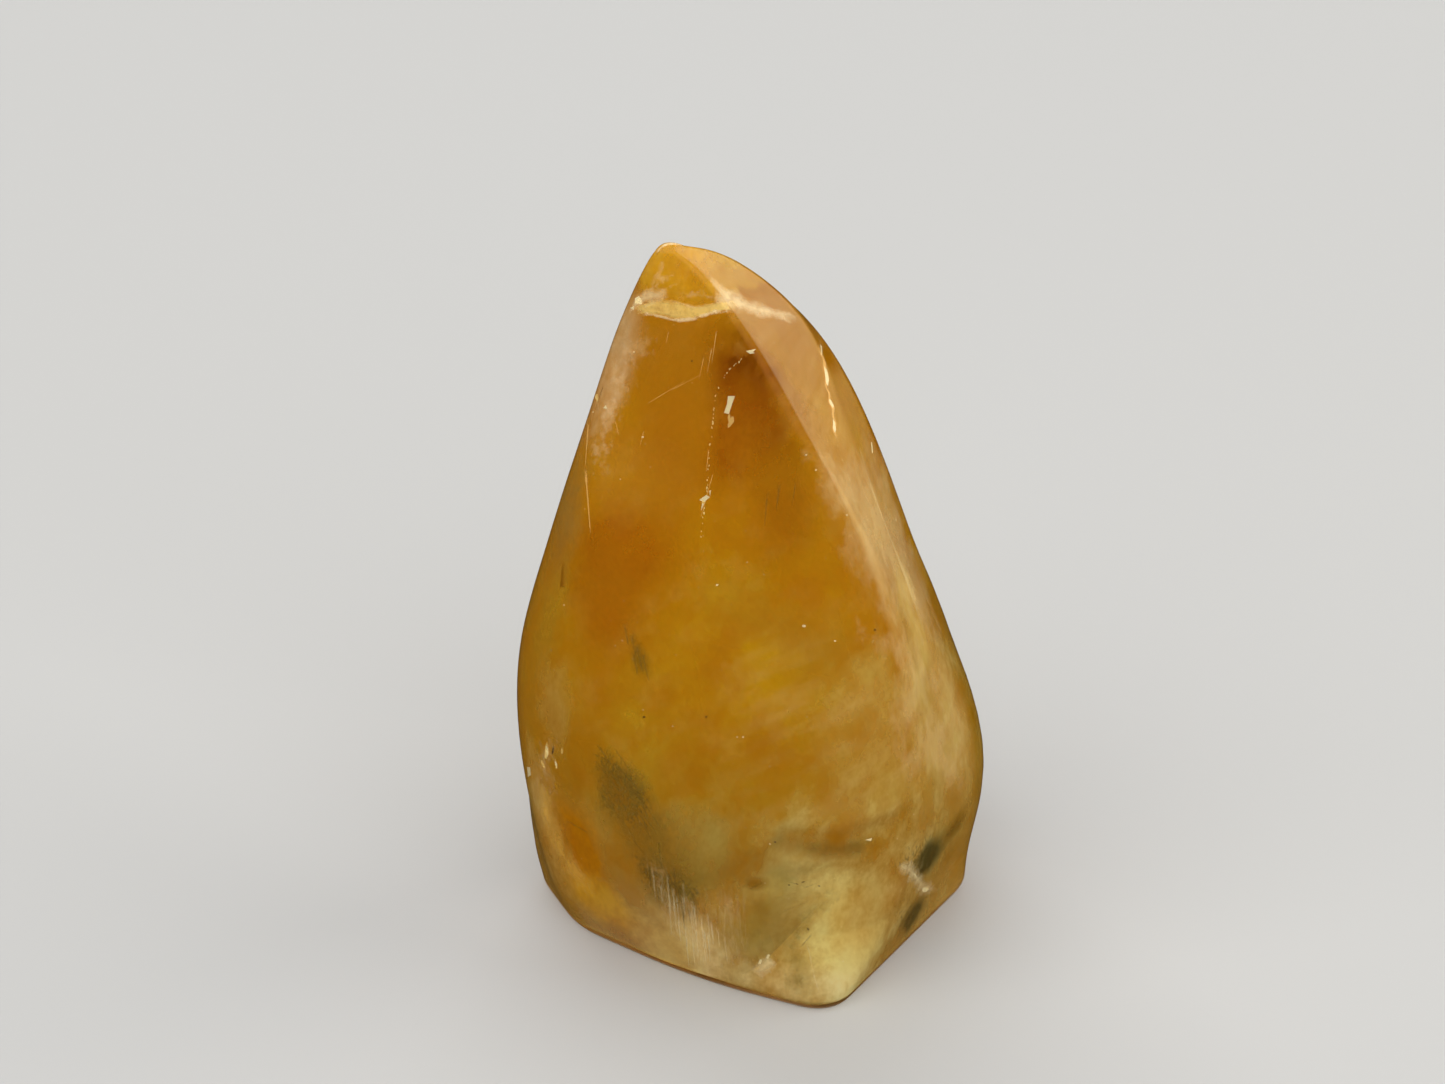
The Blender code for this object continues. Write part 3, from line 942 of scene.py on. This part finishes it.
def strokes(surface, rows, scatters=()):
    """All the strokes of one kind: those of the rows, and the scattered ones."""
    bm = bmesh.new()
    bm.loops.layers.uv.new("sheet")
    for values in rows + [thread for scatter in scatters for thread in scattered(*scatter)]:
        stroke(bm, surface, *values)
    return bm


def dust(surface):
    """Pinpoint specks scattered through the outer millimetres all round the stone."""
    chance = random.Random(23)
    bm = bmesh.new()
    while len(bm.faces) < DUST_SPECKS:
        start = Vector((chance.uniform(-20, 20), chance.uniform(-20, 20), chance.uniform(1, 55))) * MM
        place, normal, _, gap = surface.find_nearest(start)
        if gap > DUST_REACH * MM:
            continue
        made = bmesh.ops.create_circle(bm, cap_ends=True, segments=4, radius=0.5)["verts"]
        size = Vector((chance.uniform(*DUST_WIDTHS) * MM,) * 3)
        spot = place - normal * (chance.uniform(*DUST_DEPTHS) * MM)
        matrix = Matrix.LocRotScale(spot, normal.to_track_quat("Z", "Y"), size)
        bmesh.ops.transform(bm, matrix=matrix, verts=made)
    return bm


def placed(name, bm, material):
    """Turns a bmesh into an object of the scene."""
    mesh = bpy.data.meshes.new(name)
    bm.to_mesh(mesh)
    bm.free()
    mesh.materials.append(material)
    obj = bpy.data.objects.new(name, mesh)
    bpy.context.scene.collection.objects.link(obj)
    return obj


def piece(name, bm, material, smooth=True, shadow=False):
    """Turns a bmesh into a piece that rides with the stone. Light reaches past it without a shadow."""
    obj = placed(name, bm, material)
    if smooth:
        obj.data.shade_smooth()
    obj.visible_shadow = shadow
    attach(obj, "root")
    return obj


# Materials


def new_material(name):
    """A material with its node tree, and its Principled shader."""
    material = bpy.data.materials.new(name)
    material.use_nodes = True
    tree = material.node_tree
    return material, tree, tree.nodes["Principled BSDF"]


def give(tree, node, values):
    """Gives inputs of a node a value or another node's output each."""
    for socket, value in values.items():
        if isinstance(value, bpy.types.NodeSocket):
            tree.links.new(value, node.inputs[socket])
        else:
            node.inputs[socket].default_value = value


def add(tree, kind, values=None, **settings):
    """A new node with its settings and the values of its inputs."""
    node = tree.nodes.new("ShaderNode" + kind)
    for name, value in settings.items():
        setattr(node, name, value)
    give(tree, node, values or {})
    return node


def fill(tree, volume):
    """Fills the material's body with what the volume node makes."""
    give(tree, tree.nodes["Material Output"], {"Volume": volume.outputs[0]})


def measured(tree, centre, size, turn=(0, 0, 0)):
    """Places on the stone, measured from centre in units of size, both in millimetres."""
    at = add(tree, "TexCoord").outputs["Object"]
    values = {"Vector": at, "Location": Vector(centre) * MM, "Rotation": turn, "Scale": Vector(size) * MM}
    return add(tree, "Mapping", values, vector_type="TEXTURE").outputs[0]


def clouds(tree, size, detail=3, roughness=0.6, turn=(0, 0, 0), shift=0):
    """Noise from 0 to 1 with lumps of this size in millimetres."""
    at = measured(tree, (shift, shift, 0), size, turn)
    values = {"Vector": at, "Scale": 1, "Detail": detail, "Roughness": roughness}
    return add(tree, "TexNoise", values).outputs["Fac"]


def spread(tree, value, low, high, start=0, end=1):
    """The value, taken from between low and high to between start and end."""
    values = {"Value": value, "From Min": low, "From Max": high, "To Min": start, "To Max": end}
    return add(tree, "MapRange", values).outputs["Result"]


def maths(tree, operation, first, second):
    """One sum on two numbers."""
    return add(tree, "Math", {0: first, 1: second}, operation=operation).outputs[0]


def mixed(tree, share, first, second, kind="MIX"):
    """The first colour with a share of the second."""
    values = {0: share, 6: first, 7: second}
    return add(tree, "Mix", values, data_type="RGBA", blend_type=kind).outputs[2]


def ramp(tree, value, stops):
    """The colour at value between stops, each a place from 0 to 1 and a colour."""
    node = add(tree, "ValToRGB", {"Fac": value})
    elements = node.color_ramp.elements
    while len(elements) < len(stops):
        elements.new(0.5)
    for element, (place, colour) in zip(elements, stops):
        element.position = place
        element.color = (*colour, 1)
    return node.outputs["Color"]


def zone(tree, cloud, centre, size, lean=0):
    """1 in an egg-shaped zone of the stone and 0 outside it, with an edge that the cloud makes ragged."""
    at = measured(tree, centre, size, (0, radians(lean), 0))
    far = add(tree, "VectorMath", {0: at}, operation="LENGTH").outputs["Value"]
    frayed = maths(tree, "ADD", far, spread(tree, cloud, 0.3, 0.7, -0.4, 0.4))
    return spread(tree, frayed, 1.15, 0.35)


def tones(tree, cloud, places):
    """The stone's colour by height and in each zone, and how thick its cloud is there."""
    at = measured(tree, (0, 0, 0), (STONE_HEIGHT,) * 3)
    height = add(tree, "SeparateXYZ", {0: at}).outputs["Z"]
    warp = spread(tree, cloud, 0.3, 0.7, -0.05, 0.05)
    colour = ramp(tree, maths(tree, "ADD", height, warp), AMBER_BY_HEIGHT)
    wisps = clouds(tree, (2, 2, 3), detail=4, turn=(0, 0.9, 0), shift=120)
    colour = mixed(tree, spread(tree, wisps, 0.48, 0.75, 0, 0.25), colour, (0.80, 0.58, 0.18, 1))
    level = COMMON_CLOUD
    for name, (_, size, lean, own_colour, own_level) in TONES.items():
        share = zone(tree, cloud, places[name], size, lean)
        colour = mixed(tree, share, colour, (*own_colour, 1))
        gap = maths(tree, "SUBTRACT", own_level, level)
        level = add(tree, "Math", {0: share, 1: gap, 2: level}, operation="MULTIPLY_ADD").outputs[0]
    return colour, level


def citrine():
    """The polished stone: clear quartz, amber by what it takes from the light on its way through."""
    material, tree, shader = new_material("citrine")
    smudges = clouds(tree, (5, 5, 6), detail=2, shift=30)
    rough = spread(tree, smudges, 0.35, 0.7, 0.015, 0.07)
    give(tree, shader, {"IOR": QUARTZ_IOR, "Transmission Weight": 1, "Roughness": rough})
    give(tree, shader, {"Base Color": (1, 0.98, 0.92, 1)})
    fill(tree, add(tree, "VolumeAbsorption", {"Color": (0.995, 0.92, 0.50, 1), "Density": 100}))
    return material


def milk(places):
    """The cloudiness: fine bubbles that scatter the light, and the deeper amber between them."""
    material, tree, shader = new_material("milk")
    scatter = add(tree, "VolumeScatter", {"Color": (0.93, 0.66, 0.08, 1), "Density": 110, "Anisotropy": 0.3})
    absorption = add(tree, "VolumeAbsorption", {"Color": (0.97, 0.74, 0.10, 1), "Density": 150})
    fill(tree, add(tree, "AddShader", {0: scatter.outputs[0], 1: absorption.outputs[0]}))
    broad = clouds(tree, (4, 4, 6), detail=5, roughness=0.62, turn=(0.2, 0.35, 0))
    threads = clouds(tree, (0.9, 0.9, 3), turn=(0.1, 0.15, 0), shift=70)
    grain = clouds(tree, (0.4, 0.4, 0.6), detail=2, shift=200)
    cloud = mixed(tree, 0.14, mixed(tree, 0.18, broad, threads), grain)
    colour, level = tones(tree, broad, places)
    deep = spread(tree, cloud, 0.38, 0.62, 0, 0.8)
    shaded = mixed(tree, deep, colour, (0.88, 0.66, 0.36, 1), "MULTIPLY")
    streaks = clouds(tree, (1.3, 4, 7), detail=4, turn=(0, 1.13, 0), shift=140)
    low_right = zone(tree, broad, places["pale_low_right"] + Vector((-3, 0, 2)), (11, 8, 9), 40)
    streaked = maths(tree, "MULTIPLY", spread(tree, streaks, 0.45, 0.7, 0, 0.35), low_right)
    shaded = mixed(tree, streaked, shaded, (0.74, 0.56, 0.20, 1))
    veiled = maths(tree, "MULTIPLY", level, spread(tree, cloud, 0.36, 0.64, 1.25, 0.7))
    give(tree, shader, {"Base Color": shaded, "Alpha": veiled, "Roughness": 0.7, "Specular IOR Level": 0})
    return material


def mottled(tree, pattern, colour, darker):
    """The colour with darker patches, in which this share of it is left."""
    return mixed(tree, pattern, (*colour, 1), (*(part * darker for part in colour), 1))


def faded_rim(tree, ragged, size, feather, shift, open_edge):
    """How much of a sheet there is: all in its middle, and less towards its rim, with a frayed edge.
    An open edge is one whose last trace isn't faded."""
    at = add(tree, "SeparateXYZ", {0: add(tree, "UVMap", uv_map="sheet").outputs[0]})
    share = None
    for axis, reach in (("X", feather / 2), ("Y", feather)):
        along = at.outputs[axis]
        other = 1 if open_edge and axis == "Y" else maths(tree, "SUBTRACT", 1, along)
        near = spread(tree, maths(tree, "MINIMUM", along, other), 0, reach)
        share = near if share is None else maths(tree, "MINIMUM", share, near)
    fray = clouds(tree, size, detail=5, roughness=0.65, shift=shift)
    frayed = maths(tree, "ADD", share, spread(tree, fray, 0.35, 0.65, -ragged, 0))
    return spread(tree, frayed, 0, 0.8)


def sheet_material(name, colour, alpha, ragged, size, shift, feather=0.4, open_edge=False):
    """Something thin inside the stone: its colour, its most alpha, how frayed it is and how finely."""
    material, tree, shader = new_material(name)
    tint = mottled(tree, clouds(tree, size, shift=shift + 9), colour, 0.88)
    rough = spread(tree, clouds(tree, size, shift=shift + 5), 0.3, 0.7, 0.3, 0.6)
    share = maths(tree, "MULTIPLY", faded_rim(tree, ragged, size, feather, shift, open_edge), alpha)
    give(tree, shader, {"Base Color": tint, "Roughness": rough, "Alpha": share, "Specular IOR Level": 0.2})
    return material


def base_reflection_tint():
    """A matt pale look, painted as the bright inside that the base mirrors."""
    material, tree, shader = new_material("base_reflection_tint")
    patches = clouds(tree, (3, 3, 3), detail=5, roughness=0.7)
    tint = mixed(tree, spread(tree, patches, 0.35, 0.65), (0.86, 0.72, 0.40, 1), (0.74, 0.58, 0.28, 1))
    give(tree, shader, {"Base Color": tint, "Roughness": spread(tree, patches, 0.3, 0.7, 0.5, 0.8)})
    return material


def flake_material(name, colour, roughness, alpha):
    """A chip or speck, a little uneven in its colour and polish."""
    material, tree, shader = new_material(name)
    tint = mottled(tree, clouds(tree, (0.5, 0.5, 0.5)), colour, 0.9)
    rough = spread(tree, clouds(tree, (0.3, 0.3, 0.3)), 0.3, 0.7, roughness, roughness + 0.2)
    give(tree, shader, {"Base Color": tint, "Roughness": rough, "Alpha": alpha})
    return material


def pale_floor():
    """Plain pale card."""
    material, tree, shader = new_material("pale_floor")
    plain = (0.49, 0.49, 0.478, 1)
    give(tree, shader, {"Base Color": plain, "Roughness": 0.6, "Specular IOR Level": 0.2})
    return material


# The scene


def stage_plane(name, half_width, half_depth, height, material):
    """A level sheet of the studio, with its middle over or under the stone."""
    bm = bmesh.new()
    bmesh.ops.create_grid(bm, x_segments=1, y_segments=1, size=0.5)
    size = Vector((2 * half_width, 2 * half_depth, 1))
    matrix = Matrix.LocRotScale(Vector((0, 0, height)), None, size)
    bmesh.ops.transform(bm, matrix=matrix, verts=bm.verts)
    obj = placed(name, bm, material)
    return obj


def floor():
    """The plain pale floor, a hair under the stone so that light gets out of its base. The polish
    doesn't mirror it, so that the stone's amber stays deep."""
    card = stage_plane("floor", FLOOR_HALF_WIDTH, FLOOR_HALF_WIDTH, -FLOOR_GAP * MM, pale_floor())
    card.visible_glossy = False


def pale_card():
    """A softly lit card at the right, which shows only where the polish mirrors it."""
    material, tree, shader = new_material("pale_card")
    at = add(tree, "TexCoord").outputs["Object"]
    wide, high = GLOW_HALF_SIZE
    bent = add(tree, "Mapping", {"Vector": at, "Scale": (1 / wide, 1 / high, 1)}).outputs[0]
    far = add(tree, "VectorMath", {0: bent}, operation="LENGTH").outputs["Value"]
    height = add(tree, "SeparateXYZ", {0: bent}).outputs["Y"]
    glow = maths(tree, "MULTIPLY", spread(tree, far, 1.25, 0.4), spread(tree, height, -0.8, 0, 0.45, 2.3))
    patches = clouds(tree, (14, 14, 14))
    glow = maths(tree, "MULTIPLY", glow, spread(tree, patches, 0.35, 0.65, 0.78, 1.16))
    tint = mixed(tree, spread(tree, height, -0.3, 0.2), (1, 0.77, 0.34, 1), (0.88, 0.82, 0.64, 1))
    give(tree, shader, {"Base Color": (0, 0, 0, 1), "Emission Color": tint, "Emission Strength": glow})
    material.cycles.emission_sampling = "NONE"
    card = stage_plane("pale_card", *CARD_HALF_SIZE, 0, material)
    card.location = (CARD_DISTANCE * cos(CARD_SIDE), CARD_DISTANCE * sin(CARD_SIDE), CARD_HEIGHT)
    card.rotation_euler = (pi / 2, 0, CARD_SIDE - pi / 2)
    card.visible_camera = False
    card.visible_diffuse = False
    card.visible_transmission = False
    card.visible_volume_scatter = False
    card.visible_shadow = False


def soft_light(name, towards, size, power, colour):
    """A square light panel in the direction towards from the stone, turned to face it."""
    light = bpy.data.lights.new(name, "AREA")
    light.shape = "RECTANGLE"
    light.size, light.size_y = size
    light.energy = power
    light.color = colour
    obj = bpy.data.objects.new(name, light)
    direction = Vector(towards).normalized()
    obj.location = LIGHT_AIM + direction * LIGHT_DISTANCE
    obj.rotation_euler = direction.to_track_quat("Z", "Y").to_euler()
    obj.visible_glossy = False
    obj.visible_transmission = False
    bpy.context.scene.collection.objects.link(obj)


def lights():
    """The soft lights, and the room round the stone."""
    for name, light in SOFT_LIGHTS.items():
        soft_light(name, *light)
    world = bpy.data.worlds.new("studio")
    world.use_nodes = True
    tree = world.node_tree
    towards = add(tree, "TexCoord").outputs["Generated"]
    height = add(tree, "SeparateXYZ", {0: towards}).outputs["Z"]
    sky = ramp(tree, spread(tree, height, -1, 1), WORLD_BY_HEIGHT)
    give(tree, tree.nodes["Background"], {"Color": sky})
    bpy.context.scene.world = world


def camera():
    """The camera of the photograph: level across, and looking down on the stone."""
    data = bpy.data.cameras.new("camera")
    data.lens = CAMERA_LENS
    data.sensor_width = CAMERA_SENSOR
    data.clip_start = 0.01
    obj = bpy.data.objects.new("camera", data)
    back = Vector((0, -cos(CAMERA_ELEVATION), sin(CAMERA_ELEVATION)))
    obj.location = CAMERA_AIM + back * CAMERA_DISTANCE
    obj.rotation_euler = (pi / 2 - CAMERA_ELEVATION, 0, 0)
    bpy.context.scene.collection.objects.link(obj)
    bpy.context.scene.camera = obj


def sheet_pieces(surface, looks):
    """The fractures, smears and veils: each piece's sheets, how far they ripple in millimetres, and
    their look."""
    for name, groups, ripple, look in [
        ("fracture_planes", [TIP_FRACTURE, BACK_FRACTURE_PLANE], 0.05, "golden_fracture_and_reflection"),
        ("open_cracks_and_tip_highlight", [FRACTURE_LINE, tip_rim_highlight(), BACK_FRACTURE], 0.02, "cream_crack_and_tip_highlight"),
        ("smears", [FRACTURE_BRUISE, FACET_SMEAR, RIGHT_BRUISE, CORNER_BRUISE], 0.02, "cream_smear"),
        ("sparkling_veils", [*SPARKLING_VEILS, *TIP_SWIRLS, CORNER_LINE, FRACTURE_TOP], 0.02, "fine_cotton"),
        ("corner_shades", [*CORNER_SHADES, *BACK_SHADES], 0.05, "brown_shade"),
        ("brown_wedge", [WEDGE], 0.02, "brown_wedge"),
        ("painted_ridge_highlight", [RIDGE_HIGHLIGHT, SLIVER_HIGHLIGHT], 0.02, "painted_ridge_highlight"),
        ("amber_ridge_highlight", [AMBER_RIDGE_HIGHLIGHT], 0.02, "painted_amber_highlight"),
        ("ridge_seam", [ridge_seam()], 0.02, "amber_thread"),
        ("cottony_veils", [*VEILS.values(), *BACK_VEILS], 0.3, "cottony_veil"),
        ("threaded_veils", THREADED_VEILS.values(), 0.1, "threaded_veil"),
        ("lacy_flaws", [*LACE.values(), BACK_LACE], 0.1, "lace"),
    ]:
        piece(name, sheets(surface, groups, ripple), looks[look])


def fine_pieces(surface, looks):
    """The chips, specks, smudges, threads and dust."""
    # The glints and bright flakes are painted pale as glints of light; the dust is pale flecks.
    piece("glints", glints(surface), looks["pale_fleck_and_painted_glint"], smooth=False)
    piece("painted_glint_flakes", flakes(surface, GLINT_FLAKES, sides=6, seed=5), looks["pale_fleck_and_painted_glint"], smooth=False)
    piece("echoes", flakes(surface, ECHOES, sides=9, seed=3), looks["gold_painted_glint"], smooth=False)
    piece("dark_specks", flakes(surface, SPECKS, sides=6, seed=7), looks["dark_speck"], smooth=False)
    piece("brown_smudges", strokes(surface, SMUDGES, DARK_STRANDS), looks["brown_streak"])
    piece("pale_threads", strokes(surface, [], PALE_THREADS), looks["pale_thread"])
    piece("dotted_cracks", dotted_lines(surface), looks["gold_dot"], smooth=False)
    piece("needles", strokes(surface, NEEDLES), looks["amber_thread"])
    piece("dust", dust(surface), looks["pale_fleck_and_painted_glint"], smooth=False)


def main():
    """Sets up the studio and makes the stone with all that lies inside it."""
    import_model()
    camera()
    lights()
    floor()
    pale_card()
    form = polished_form()
    hand_polish(form)
    surface = BVHTree.FromBMesh(form)
    places = {name: inside(surface, *tone[0])[0] / MM for name, tone in TONES.items()}
    stone = piece("polished_stone", form, citrine())
    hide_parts("citrine_crystal")
    piece("milky_clouds", clouds_inside(places["clear_corner"] * MM), milk(places), shadow=True)
    piece("base_reflection_face", base_reflection_face(), base_reflection_tint())
    looks = {name: sheet_material(name, *look) for name, look in SHEET_LOOKS.items()}
    looks |= {name: flake_material(name, *look) for name, look in FLAKE_LOOKS.items()}
    sheet_pieces(surface, looks)
    fine_pieces(surface, looks)
    scene = bpy.context.scene
    scene.view_settings.view_transform = "Standard"
    scene.cycles.max_bounces = 10
    scene.cycles.transmission_bounces = 8
    scene.cycles.volume_bounces = 4
    scene.cycles.transparent_max_bounces = 14


main()
